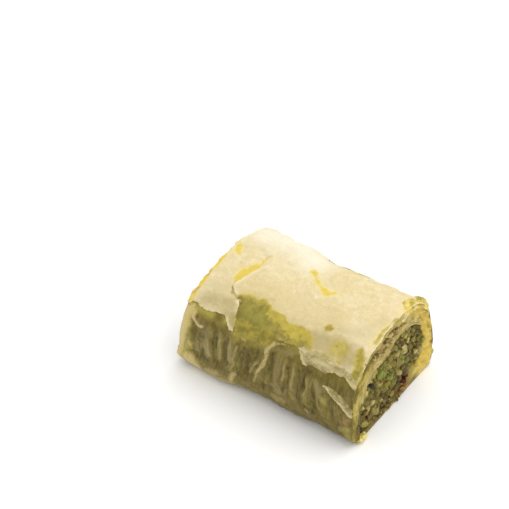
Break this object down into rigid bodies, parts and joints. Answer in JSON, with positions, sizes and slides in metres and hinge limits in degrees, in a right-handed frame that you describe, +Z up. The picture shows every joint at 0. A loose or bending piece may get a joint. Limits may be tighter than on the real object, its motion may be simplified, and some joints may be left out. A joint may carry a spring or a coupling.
{
  "type": "rolled pistachio baklava piece",
  "caption": "Short roll of thin syrup-soaked pastry round ground pistachio filling, with a dry flaky top sheet, pleated long sides, cut filled ends and a flat base.",
  "frame": {"origin": "middle of the bounding box's bottom face, where the flat base rests", "axes": "+X along the roll, towards the end with the small curl at its foot; +Y across the roll, towards its steeper back; +Z up"},
  "size_m": [0.0498, 0.036, 0.0263],
  "materials": {
    "pastry": "stands in for baked pastry sheets: pale cream and dry on top, olive, translucent and moist with syrup at the sides",
    "filling": "stands in for coarse ground pistachio: green, olive and brown crumbs, moist",
    "fold_filling": "stands in for the same ground pistachio, browner and finer, between the pastry layers"
  },
  "bodies": {
    "root": {"pastry": "pastry", "filling": "filling", "fold_filling": "fold_filling"}
  },
  "joints": []
}
